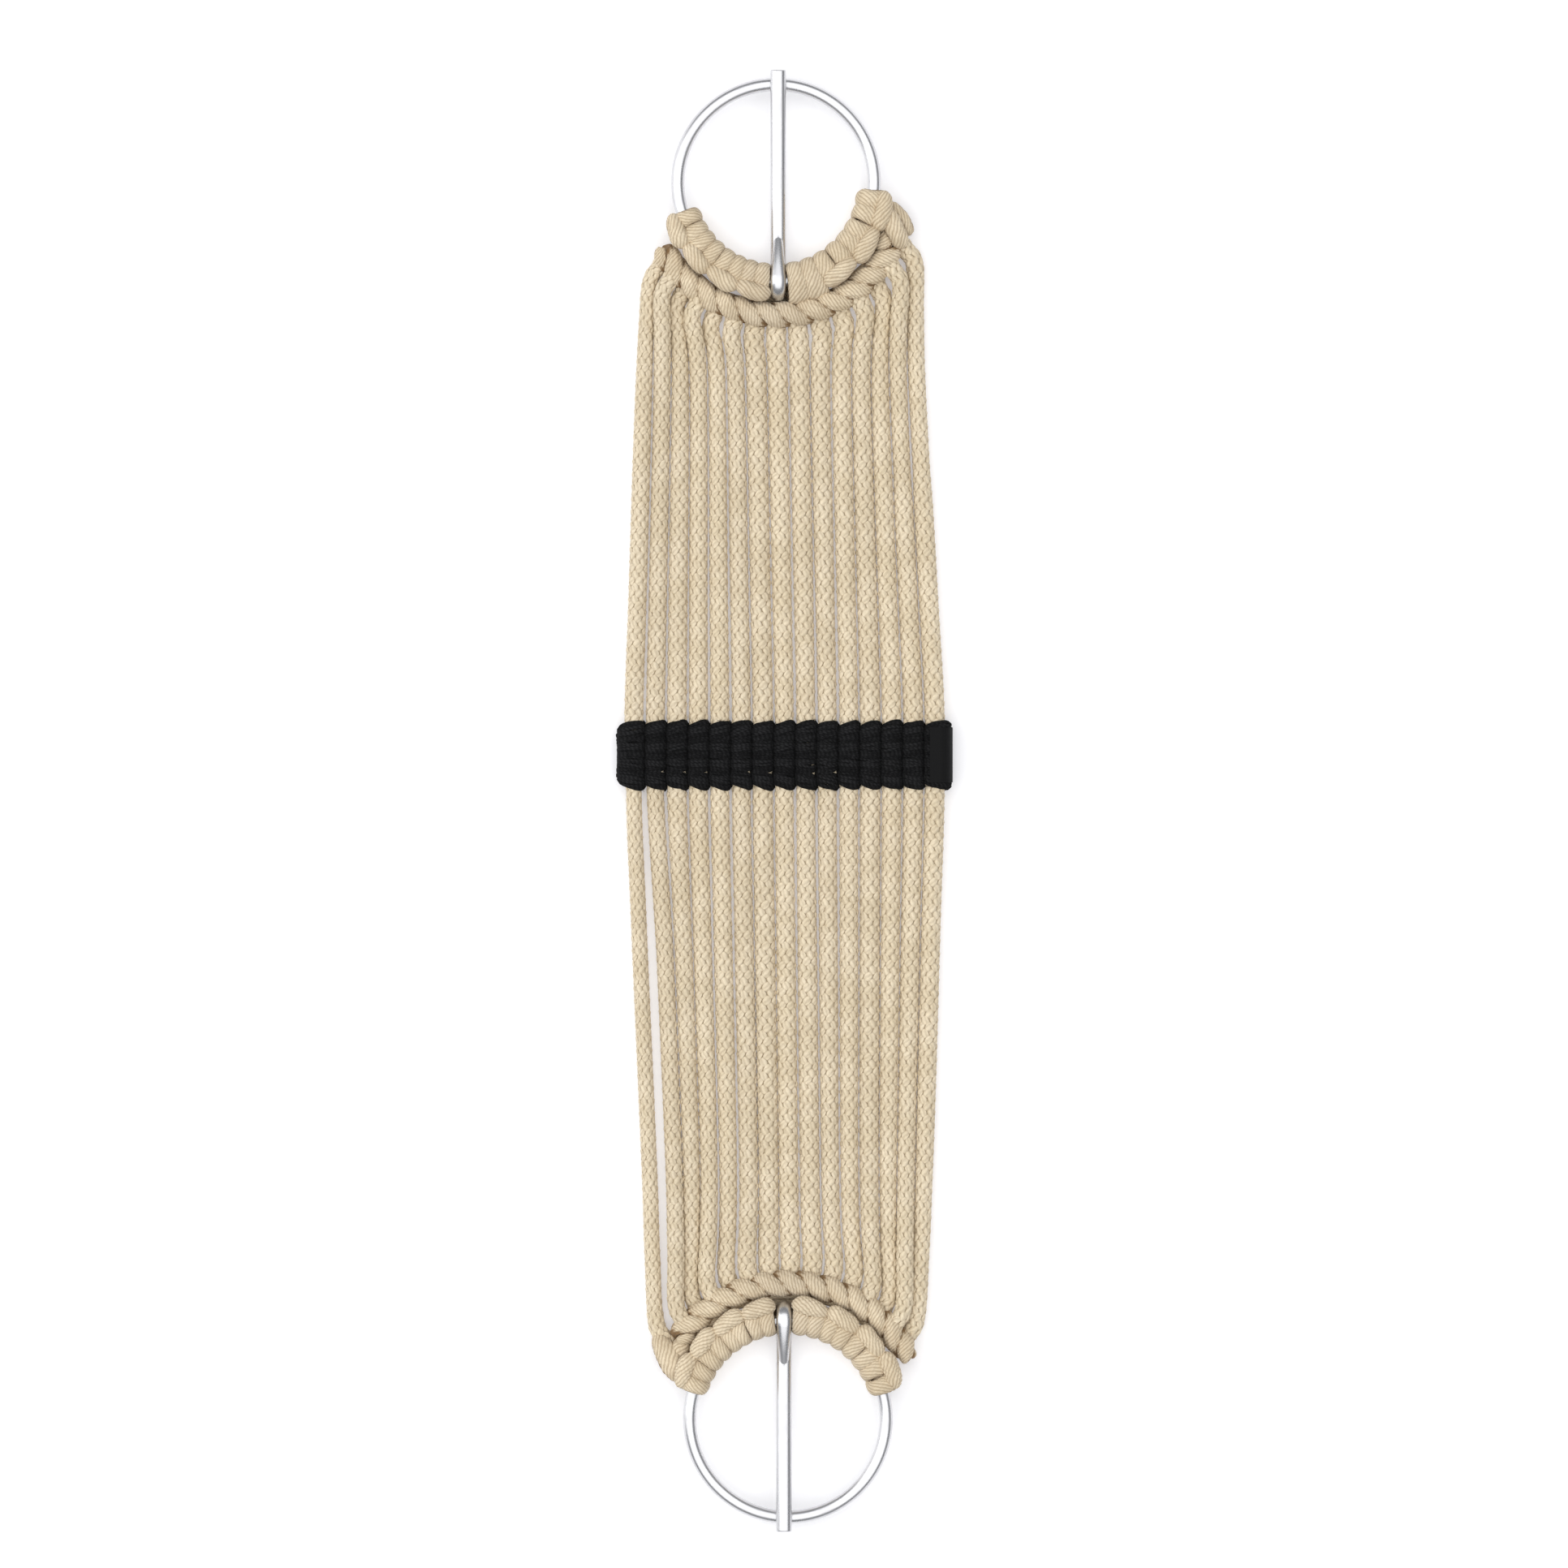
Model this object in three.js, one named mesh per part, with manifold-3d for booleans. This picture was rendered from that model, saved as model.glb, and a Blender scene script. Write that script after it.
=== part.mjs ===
// A string cinch (saddle girth): fifteen braided cords laid side by side between two steel buckle rings.
// Each end of the panel is tied round its ring with cow hitches and bound by one twined row; a black yarn
// crossbar, with a folded tab at one edge, holds the cords apart near the middle. A hooked tongue pivots on
// each ring, in the gap left between the two middle hitches.
//
// Millimetres, +Z up. The cinch lies flat: X runs across the cords, Y along them, and z = 0 is the surface
// that it rests on. "upper" is the end towards +Y and "lower" the end towards -Y.
import * as THREE from "three";
import { mergeVertices } from "three/addons/utils/BufferGeometryUtils.js";
import Module from "manifold-3d";

// Rings and tongues: bent round bar
const ringInside = 70;
const ringBar = 5;
const tongueBar = 4.6; // thick, and
const tongueWidth = 5.9; // wide, as its bar is a little flattened
const eyeSlack = 0.6; // between the ring's bar and the tongue's eye
const tongueOverhang = 2.4; // of the tip past the ring
const curlEnd = 12.5; // where the tongue's curl comes to rest on its shaft, from the eye

// Cords
const cordCount = 15;
const cordDiameter = 6.7;
const cordPitch = 8.2; // across the crossbar
const panelMiddleX = -0.5;

const exitSlant = 0.6; // of the angle at which a cord would leave a lashing square to it
const exitRun = 5; // that it keeps to that slant

// Lashings
const hitchRadius = 7.5; // of the cord wrapped round the ring's bar
const hitchBarReach = 8.3; // of the hitch's crossing bar, from the ring's bar
const hitchesPerSide = 4;
const tongueGap = 8.2; // between the two middle hitches, along the ring
const twineRadius = 50.3; // of the twined row, from the ring's centre
const twineHalfWidth = 3.9;
const twineHalfHeight = 5.7;
const clearance = 0.3; // between pieces that touch

// Crossbar and tab
const crossbarY = 17.5;
const crossbarLength = 27;
const yarnThickness = 2; // above and below the cords
const yarnEdge = 2.7; // beyond the outer cords
const tabLength = 21;
const tabLap = 8; // of the tab over the crossbar, above and below
const tabThickness = 0.6;

const ringRadius = ringInside / 2 + ringBar / 2;
const ringTube = (ringBar / 2) * 1.05; // to the corners of its eight-sided section
const liftedZ = hitchRadius + 0.3; // the hitches lie on the floor and carry the ring
const cordZ = cordDiameter / 2;
const crossbarCordZ = cordZ + yarnThickness;
const cordEndRadius = twineRadius + twineHalfWidth + clearance + 1;
const tipReach = ringRadius + ringBar / 2 + tongueOverhang; // from the ring's centre

// The two ends. side points outwards along Y. Angles are in degrees about the ring's centre, from the
// line that runs straight into the panel, positive towards +X.
const upper = {
  name: "upper",
  side: 1,
  x: -3.6,
  y: 235.8,
  tongueX: -2.8,
  arc: [-72, 84.5],
  cordAngles: [-54.5, -47.5, -40.5, -33.3, -25.4, -17, -8.5, 0, 8.5, 17.5, 26.5, 35.5, 44.3, 53.5, 63],
};
const lower = {
  name: "lower",
  side: -1,
  x: 0.9,
  y: -235.8,
  tongueX: -0.6,
  arc: [-72.5, 73],
  cordAngles: [-57.5, -47, -39.5, -31.8, -23.7, -15.5, -7.3, 1, 9.3, 17.5, 25.6, 33.4, 41.2, 48.4, 55.6],
};

// Each cord's x where it has straightened out of the upper lashing, and before it enters the lower one
const upperFanY = 166;
const upperFanX = [-53.9, -47.1, -40.3, -33.5, -26.5, -19.2, -11.3, -3.1, 5.3, 13.3, 21.4, 29, 36.1, 43, 50];
const lowerFanY = -147;
const lowerFanX = [-51.5, -43.5, -36.4, -29.2, -21.9, -14.1, -6.5, 1.2, 9.3, 17.1, 24.5, 32, 39.2, 46, 52.8];
// How far each cord is lifted where it leaves a lashing, because the outer cords crowd there
const exitLift = [0, 5.3, 0, 4.4, 0, 2, 0, 0, 0, 0, 0, 3, 0, 5.5, 0];

const nickel = new THREE.MeshStandardMaterial({ color: 0xd9dadc, roughness: 0.12, metalness: 1 });
const naturalCord = new THREE.MeshStandardMaterial({ color: 0xd8c6a0, roughness: 0.9, metalness: 0 });
const lashingCord = new THREE.MeshStandardMaterial({ color: 0xd3c096, roughness: 0.92, metalness: 0 });
const blackYarn = new THREE.MeshStandardMaterial({ color: 0x141416, roughness: 0.85, metalness: 0 });
const blackTab = new THREE.MeshStandardMaterial({ color: 0x0c0c0e, roughness: 0.5, metalness: 0 });

const cinch = new THREE.Group();
const wasm = await Module();
wasm.setup();

function addPiece(name, geometry, material) {
  const mesh = new THREE.Mesh(geometry, material);
  mesh.name = name;
  cinch.add(mesh);
  return mesh;
}

const radians = THREE.MathUtils.degToRad;

// A point at a radius and angle about an end's ring
function aboutRing(end, radius, degrees, z) {
  const a = radians(degrees);
  return new THREE.Vector3(end.x + radius * Math.sin(a), end.y - end.side * radius * Math.cos(a), z);
}

// A section of flat sides that touch the ellipse from outside, one of them at the top
function section(halfWidth, halfHeight, sides) {
  const grow = 1 / Math.cos(Math.PI / sides);
  const points = [];
  for (let i = 0; i < sides; i++) {
    const a = ((i + 0.5) / sides) * 2 * Math.PI;
    points.push(new THREE.Vector2(halfHeight * grow * Math.cos(a), halfWidth * grow * Math.sin(a)));
  }
  return points;
}

// Eight sides that enclose as much as the circle does
function roundSection(radius) {
  const sameArea = 0.974;
  return section(radius, radius, 8).map((p) => p.multiplyScalar(sameArea));
}

function sweep(shape, path, steps) {
  return new THREE.ExtrudeGeometry(shape, { extrudePath: path, steps, bevelEnabled: false });
}

// A path that is stepped along from point to point, however far apart they are
class ThroughPoints extends THREE.Curve {
  constructor(points) {
    super();
    this.points = points;
  }
  getPointAt(u, target = new THREE.Vector3()) {
    return target.copy(this.points[Math.round(u * (this.points.length - 1))]);
  }
  getTangentAt(u, target = new THREE.Vector3()) {
    const i = Math.round(u * (this.points.length - 1));
    const before = this.points[Math.max(i - 1, 0)];
    const after = this.points[Math.min(i + 1, this.points.length - 1)];
    return target.copy(after).sub(before).normalize();
  }
}

function roundBar(points, radius) {
  return sweep(new THREE.Shape(roundSection(radius)), new ThroughPoints(points), points.length - 1);
}

// A piece of an arc about an end's ring, as a path to sweep along
class RingArc extends THREE.Curve {
  constructor(end, radius, from, to, z) {
    super();
    Object.assign(this, { end, radius, from, to, z });
  }
  getPoint(t, target = new THREE.Vector3()) {
    return target.copy(aboutRing(this.end, this.radius, this.from + (this.to - this.from) * t, this.z));
  }
}

function makeRing(end) {
  const ring = addPiece(end.name + "_ring", new THREE.TorusGeometry(ringRadius, ringTube, 8, 56), nickel);
  ring.position.set(end.x, end.y, liftedZ);
}

// The tongue's bar, seen from the side. Its shaft comes in over the far side of the ring, passes under the
// near side, turns up round it and comes back to rest on itself. "slope" tilts the whole about the eye, so
// that the shaft clears the far side.
function makeTongue(end) {
  const eyeRadius = ringBar / 2 + eyeSlack + tongueBar / 2;
  const farRise = ringBar / 2 + clearance + tongueBar / 2;
  const span = 2 * ringRadius;
  const slope = Math.atan2(farRise, span) + Math.asin(eyeRadius / Math.hypot(farRise, span));
  const at = (distance, rise) => {
    const along = distance * Math.cos(slope) - rise * Math.sin(slope);
    return new THREE.Vector3(0, along, distance * Math.sin(slope) + rise * Math.cos(slope));
  };
  const tip = (ringRadius + tipReach - eyeRadius * Math.sin(slope)) / Math.cos(slope);
  const corners = [at(tip, -eyeRadius), at(curlEnd + tongueBar, -eyeRadius)];
  const curlEndRise = tongueBar - eyeRadius + 0.2;
  const turn = (3 / 2) * Math.PI + 0.05 - Math.acos(eyeRadius / Math.hypot(curlEnd, curlEndRise));
  const eyeSteps = 11;
  for (let i = 0; i <= eyeSteps; i++) {
    const turned = -Math.PI / 2 - (i / eyeSteps) * turn;
    corners.push(at(eyeRadius * Math.cos(turned), eyeRadius * Math.sin(turned)));
  }
  corners.push(at(curlEnd, curlEndRise));
  const bar = roundBar(corners, tongueBar / 2);
  bar.scale(tongueWidth / tongueBar, 1, 1);
  const tongue = addPiece(end.name + "_tongue", bar, nickel);
  tongue.position.set(end.tongueX, end.y - end.side * ringRadius, liftedZ);
  if (end.side < 0) tongue.rotation.z = Math.PI;
}

// A cow hitch: a sleeve on the ring's bar, stretched outwards where its crossing bar lies
function makeHitch(end, number, from, to) {
  const outline = section(hitchRadius, hitchRadius, 12);
  for (const p of outline) p.y *= p.y > 0 ? hitchBarReach / hitchRadius : 1;
  const shape = new THREE.Shape(outline);
  const boreRadius = ringBar / 2 + clearance + 0.15;
  shape.holes.push(new THREE.Path(section(boreRadius, boreRadius, 8)));
  const path = new RingArc(end, ringRadius, from, to, liftedZ);
  addPiece(end.name + "_hitch_" + number, sweep(shape, path, 2), lashingCord);
}

function makeHitches(end) {
  const tongueAngle = THREE.MathUtils.radToDeg(Math.asin((end.tongueX - end.x) / ringRadius));
  const halfGap = THREE.MathUtils.radToDeg(tongueGap / 2 / ringRadius);
  const between = 0.75; // degrees left between neighbours
  const [start, stop] = end.arc;
  const stretches = [
    [start, tongueAngle - halfGap],
    [tongueAngle + halfGap, stop],
  ];
  let number = 1;
  for (const [from, to] of stretches) {
    const each = (to - from) / hitchesPerSide;
    for (let i = 0; i < hitchesPerSide; i++) {
      makeHitch(end, number, from + each * i + between / 2, from + each * (i + 1) - between / 2);
      number += 1;
    }
  }
}

// The twined row that binds the cords where they leave the hitches
function makeTwine(end) {
  const [start, stop] = end.arc;
  const path = new RingArc(end, twineRadius, start - 2, stop + 2, twineHalfHeight + 0.1);
  const shape = new THREE.Shape(section(twineHalfWidth, twineHalfHeight, 8));
  addPiece(end.name + "_twine", sweep(shape, path, 16), lashingCord);
}

// A cord's centreline, from one lashing through the crossbar to the other. It leaves each lashing at a
// slant, then swings round to run along the panel.
function cordPath(i) {
  const barX = panelMiddleX + (i - (cordCount - 1) / 2) * cordPitch;
  const barEnd = crossbarLength / 2 + 3; // where the cord has come back down
  const z = cordZ + 0.02;
  const swing = (end, fanX, fanY) => {
    const lift = exitLift[i];
    const angle = end.cordAngles[i];
    const exit = aboutRing(end, cordEndRadius, angle, z + lift);
    const slant = radians(angle * exitSlant);
    const slanted = new THREE.Vector3(Math.sin(slant), -end.side * Math.cos(slant), 0);
    const straightOut = exit.clone().addScaledVector(slanted, exitRun);
    const fan = new THREE.Vector3(fanX, fanY, z + lift / 4);
    const settlingX = (straightOut.x + 2 * fanX) / 3;
    const settling = new THREE.Vector3(settlingX, (straightOut.y + fanY) / 2, z + 0.8 * lift);
    return [exit, straightOut, settling, fan];
  };
  const towards = (fanX, fanY, y) => new THREE.Vector3((fanX + 2 * barX) / 3, (fanY + 2 * y) / 3, z);
  return new THREE.CatmullRomCurve3(
    [
      ...swing(upper, upperFanX[i], upperFanY),
      towards(upperFanX[i], upperFanY, crossbarY + barEnd),
      new THREE.Vector3(barX, crossbarY + barEnd, crossbarCordZ),
      new THREE.Vector3(barX, crossbarY - barEnd, crossbarCordZ),
      towards(lowerFanX[i], lowerFanY, crossbarY - barEnd),
      ...swing(lower, lowerFanX[i], lowerFanY).reverse(),
    ],
    false,
    "centripetal",
  );
}

function cordGeometry(i, radius) {
  const points = cordPath(i).getPoints(22);
  for (const p of points) p.z = Math.max(p.z, cordZ);
  return roundBar(points, radius);
}

function makeCords() {
  for (let i = 0; i < cordCount; i++) {
    addPiece("cord_" + String(i + 1).padStart(2, "0"), cordGeometry(i, cordDiameter / 2), naturalCord);
  }
}

function toSolid(geometry) {
  const bare = geometry.clone();
  bare.deleteAttribute("normal");
  bare.deleteAttribute("uv");
  const merged = mergeVertices(bare, 1e-3);
  return new wasm.Manifold(
    new wasm.Mesh({
      numProp: 3,
      vertProperties: merged.attributes.position.array,
      triVerts: new Uint32Array(merged.index.array),
    }),
  );
}

function fromSolid(solid) {
  const made = solid.getMesh();
  const geometry = new THREE.BufferGeometry();
  geometry.setAttribute("position", new THREE.BufferAttribute(new Float32Array(made.vertProperties), 3));
  geometry.setIndex(new THREE.BufferAttribute(new Uint32Array(made.triVerts), 1));
  return geometry;
}

// A flat bar with rounded long edges, lying along X
function roundedBar(fromX, toX, height, length, y) {
  const r = height / 2;
  const outline = new THREE.Shape();
  outline.moveTo(fromX + r, 0);
  outline.lineTo(toX - r, 0);
  outline.absarc(toX - r, r, r, -Math.PI / 2, Math.PI / 2, false);
  outline.lineTo(fromX + r, height);
  outline.absarc(fromX + r, r, r, Math.PI / 2, (3 * Math.PI) / 2, false);
  const settings = { depth: length, bevelEnabled: false, curveSegments: 8 };
  const geometry = new THREE.ExtrudeGeometry(outline, settings);
  geometry.rotateX(Math.PI / 2);
  geometry.translate(0, y + length / 2, 0);
  return geometry;
}

const crossbarHeight = cordDiameter + 2 * yarnThickness;
const outerCordX = ((cordCount - 1) / 2) * cordPitch;
const barToX = panelMiddleX + outerCordX + cordDiameter / 2 + yarnEdge;
const tabFloor = tabThickness + clearance; // the tab passes under the crossbar, which is thinned there
const barFromX = -(barToX + tabFloor); // the origin is under the middle

// The crossbar: yarn twined through the cords, with a hole for each
function makeCrossbar() {
  let bar = toSolid(roundedBar(barFromX, barToX, crossbarHeight, crossbarLength, crossbarY));
  for (let i = 0; i < cordCount; i++) {
    bar = bar.subtract(toSolid(cordGeometry(i, cordDiameter / 2 + clearance)));
  }
  const inTab = roundedBar(barToX - 40, barToX, crossbarHeight - tabFloor, crossbarLength, crossbarY);
  inTab.translate(0, 0, tabFloor);
  const atTab = new THREE.BoxGeometry(60, tabLength + 2 * clearance, 60);
  atTab.translate(barToX + 30 - tabLap - clearance, crossbarY, 0);
  addPiece("crossbar", fromSolid(bar.subtract(toSolid(atTab).subtract(toSolid(inTab)))), blackYarn);
}

// The tab: a strip folded round the crossbar's edge
function makeTab() {
  const innerHeight = crossbarHeight - tabFloor + 2 * clearance;
  const inner = roundedBar(barToX - 40, barToX + clearance, innerHeight, tabLength + 2, crossbarY);
  inner.translate(0, 0, tabThickness);
  const outerHeight = innerHeight + 2 * tabThickness;
  const outer = roundedBar(barToX - 30, barToX + tabFloor, outerHeight, tabLength, crossbarY);
  const keep = new THREE.BoxGeometry(60, 60, 60).translate(barToX + 30 - tabLap, crossbarY, 0);
  const tab = toSolid(outer).subtract(toSolid(inner)).intersect(toSolid(keep));
  addPiece("edge_tab", fromSolid(tab), blackTab);
}

for (const end of [upper, lower]) {
  makeRing(end);
  makeTongue(end);
  makeHitches(end);
  makeTwine(end);
}
makeCords();
makeCrossbar();
makeTab();

export default cinch;
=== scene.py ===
import math
import random

import bpy
import numpy as np
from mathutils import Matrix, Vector


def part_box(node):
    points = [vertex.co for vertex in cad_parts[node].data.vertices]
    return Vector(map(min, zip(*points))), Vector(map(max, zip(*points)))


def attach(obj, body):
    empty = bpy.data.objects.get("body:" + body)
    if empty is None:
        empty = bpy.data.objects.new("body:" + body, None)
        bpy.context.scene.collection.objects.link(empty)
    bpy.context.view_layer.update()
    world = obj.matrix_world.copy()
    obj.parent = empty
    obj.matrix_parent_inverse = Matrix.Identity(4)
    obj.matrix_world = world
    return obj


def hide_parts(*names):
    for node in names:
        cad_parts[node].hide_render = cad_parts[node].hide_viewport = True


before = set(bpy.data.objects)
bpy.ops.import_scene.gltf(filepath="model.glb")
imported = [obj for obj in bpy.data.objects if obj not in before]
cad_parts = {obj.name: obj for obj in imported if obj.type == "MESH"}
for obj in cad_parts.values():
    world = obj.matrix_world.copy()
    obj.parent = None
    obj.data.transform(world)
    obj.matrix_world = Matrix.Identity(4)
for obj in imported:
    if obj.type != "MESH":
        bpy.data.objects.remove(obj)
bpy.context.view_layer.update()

mm = 0.001

# ---- Camera ----
# The cinch lies flat and is looked at from straight above, through a long lens, with the upper ring at the
# top of the picture.
picture_width = 599 * mm
lens_length, sensor_width = 135, 36
camera = bpy.data.objects.new("camera", bpy.data.cameras.new("camera"))
bpy.context.scene.collection.objects.link(camera)
camera.data.lens = lens_length
camera.data.sensor_width = sensor_width
camera.location = (-0.6 * mm, 6.4 * mm, 5 * mm + picture_width * lens_length / sensor_width)
bpy.context.scene.camera = camera


# ---- Braided cords ----
# Fifteen soft natural cords lie side by side from lashing to lashing. Each is plaited from twelve flat
# yarns, six wound each way, one over and one under, round a thin core.
cord_count = 15
cord_radius = 3.35
ring_radius = 37.5
cord_end_radius = 55.5
tucked = 4.0  # of each cord's end, out of sight in the lashing
exit_slant = 0.6  # of the angle at which a cord would leave its lashing square to it
exit_run = 5.0
upper = {
    "name": "upper", "side": 1, "x": -3.6, "y": 235.8, "tongue_x": -2.8, "arc": (-72, 84.5), "shift": 0,
    "cord_angles": [
        -54.5, -47.5, -40.5, -33.3, -25.4, -17, -8.5, 0, 8.5, 17.5, 26.5, 35.5, 44.3, 53.5, 63,
    ],
}
lower = {
    "name": "lower", "side": -1, "x": 0.9, "y": -235.8, "tongue_x": -0.6, "arc": (-72.5, 73), "shift": 1.4,
    "cord_angles": [
        -57.5, -47, -39.5, -31.8, -23.7, -15.5, -7.3, 1, 9.3, 17.5, 25.6, 33.4, 41.2, 48.4, 55.6,
    ],
}
upper_fan_y = 166
upper_fan_x = [-53.9, -47.1, -40.3, -33.5, -26.5, -19.2, -11.3, -3.1, 5.3, 13.3, 21.4, 29, 36.1, 43, 50]
lower_fan_y = -147
lower_fan_x = [-51.5, -43.5, -36.4, -29.2, -21.9, -14.1, -6.5, 1.2, 9.3, 17.1, 24.5, 32, 39.2, 46, 52.8]
exit_lift = [0, 3.2, 0, 2.6, 0, 1.2, 0, 0, 0, 0, 0, 1.8, 0, 3.3, 0]  # soft cords squeeze past each other
crossbar_y = 17.5
crossbar_cord_z = 5.35
cord_pitch = 8.2
crossbar_reach = 16.5  # from the crossbar's middle to where a cord has come back down


def about_ring(end, radius, degrees, z):
    """A point about an end's ring; the angle is from the line that runs straight into the panel."""
    a = math.radians(degrees)
    return np.array([end["x"] + radius * math.sin(a), end["y"] - end["side"] * radius * math.cos(a), z])


def cord_x(i):
    return -0.5 + (i - (cord_count - 1) / 2) * cord_pitch


def cord_turns(i):
    """The points that a cord is laid through, from the upper lashing to the lower."""
    bar_x, lift, z = cord_x(i), exit_lift[i], cord_radius + 0.02

    def swing(end, fan_x, fan_y):
        leaves = about_ring(end, cord_end_radius, end["cord_angles"][i], z + lift)
        slant = math.radians(end["cord_angles"][i] * exit_slant)
        slanted = np.array([math.sin(slant), -end["side"] * math.cos(slant), 0])
        straight_out = leaves + exit_run * slanted
        settling = ((straight_out[0] + 2 * fan_x) / 3, (straight_out[1] + fan_y) / 2, z + 0.8 * lift)
        hidden = leaves - tucked * slanted + (0, 0, 0.8 - 0.35 * lift)
        return [hidden, leaves, straight_out, settling, (fan_x, fan_y, z + lift / 4)]

    def towards(fan_x, fan_y, y):
        return ((fan_x + 2 * bar_x) / 3, (fan_y + 2 * y) / 3, z)

    above, below = crossbar_y + crossbar_reach, crossbar_y - crossbar_reach
    return [
        *swing(upper, upper_fan_x[i], upper_fan_y),
        towards(upper_fan_x[i], upper_fan_y, above),
        (bar_x, above, crossbar_cord_z),
        (bar_x, below, crossbar_cord_z),
        towards(lower_fan_x[i], lower_fan_y, below),
        *reversed(swing(lower, lower_fan_x[i], lower_fan_y)),
    ]


def smooth_line(turns, per_span=24):
    """A smooth line through points that are set unevenly apart."""
    turns = [np.array(p, float) for p in turns]
    turns = [2 * turns[0] - turns[1]] + turns + [2 * turns[-1] - turns[-2]]
    line = []
    for a, b, c, d in zip(turns, turns[1:], turns[2:], turns[3:]):
        ab, bc, cd = (np.linalg.norm(q - p) ** 0.5 for p, q in ((a, b), (b, c), (c, d)))
        start = bc * ((b - a) / ab - (c - a) / (ab + bc) + (c - b) / bc)
        stop = bc * ((c - b) / bc - (d - b) / (bc + cd) + (d - c) / cd)
        for t in np.linspace(0, 1, per_span, endpoint=False):
            bend = t * t * (3 * (c - b) - 2 * start - stop) + t**3 * (2 * (b - c) + start + stop)
            line.append(b + t * start + bend)
    line.append(turns[-2])
    return np.array(line)


def even_line(line, step):
    """The same line with points a step apart, and how far along it each is."""
    gaps = np.linalg.norm(np.diff(line, axis=0), axis=1)
    along = np.concatenate([[0], np.cumsum(gaps)])
    wanted = np.linspace(0, along[-1], int(round(along[-1] / step)) + 1)
    return wanted, np.stack([np.interp(wanted, along, line[:, k]) for k in range(3)], axis=1)


def unit(vectors):
    return vectors / np.linalg.norm(vectors, axis=-1, keepdims=True)


def strand_mesh(name, strands):
    """One object from strands. A strand is its rounds of points, how far along each round is, how far out
    of the creases each point stands, which sets its painted shade, and its tone."""
    points, quads, caps, maps, deeps, tones = [], [], [], [], [], []
    start = 0
    for rounds, along, deep, tone in strands:
        n, m = rounds.shape[:2]
        i, j = np.meshgrid(np.arange(n - 1), np.arange(m), indexing="ij")
        k = (j + 1) % m
        corners = ((i, j, j), (i + 1, j, j), (i + 1, k, j + 1), (i, k, j + 1))
        quads.append(np.stack([start + a * m + b for a, b, _ in corners], -1).reshape(-1, 4))
        maps.append(np.stack([np.stack([c / m, along[a]], -1) for a, _, c in corners], -2).reshape(-1, 2))
        caps += [start + np.arange(m), start + (n - 1) * m + np.arange(m)[::-1]]
        points.append(rounds.reshape(-1, 3))
        deeps.append(np.broadcast_to(deep, (n, m)).ravel())
        tones.append(np.broadcast_to(tone, (n, m)).ravel())
        start += n * m
    quads = np.concatenate(quads)
    corners = np.concatenate([quads.ravel(), *caps]).astype(np.int32)
    totals = np.concatenate([np.full(len(quads), 4), [len(c) for c in caps]]).astype(np.int32)
    mesh = bpy.data.meshes.new(name)
    mesh.vertices.add(start)
    mesh.vertices.foreach_set("co", (np.concatenate(points) * mm).ravel())
    mesh.loops.add(len(corners))
    mesh.loops.foreach_set("vertex_index", corners)
    mesh.polygons.add(len(totals))
    mesh.polygons.foreach_set("loop_start", np.concatenate([[0], np.cumsum(totals)[:-1]]).astype(np.int32))
    mesh.polygons.foreach_set("use_smooth", np.ones(len(totals), bool))
    mesh.update(calc_edges=True)
    lay = np.zeros((len(corners), 2))
    lay[: quads.size] = np.concatenate(maps)
    mesh.uv_layers.new(name="lay").data.foreach_set("uv", lay.ravel())
    for label, values in (("deep", deeps), ("tone", tones)):
        mesh.attributes.new(label, "FLOAT", "POINT").data.foreach_set("value", np.concatenate(values))
    mesh.validate()
    piece = bpy.data.objects.new(name, mesh)
    bpy.context.scene.collection.objects.link(piece)
    return piece


class Amount:
    """A value that varies over a surface, for writing a material's sums."""

    def __init__(self, finish, socket):
        self.finish, self.socket = finish, socket

    def sum_with(self, operation, first, second):
        return self.finish.node("ShaderNodeMath", {"operation": operation}, {0: first, 1: second})

    def __add__(self, other):
        return self.sum_with("ADD", self, other)

    def __sub__(self, other):
        return self.sum_with("SUBTRACT", self, other)

    def __rsub__(self, other):
        return self.sum_with("SUBTRACT", other, self)

    def __mul__(self, other):
        return self.sum_with("MULTIPLY", self, other)

    def __pow__(self, other):
        return self.sum_with("POWER", self, other)

    __radd__, __rmul__ = __add__, __mul__


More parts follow.
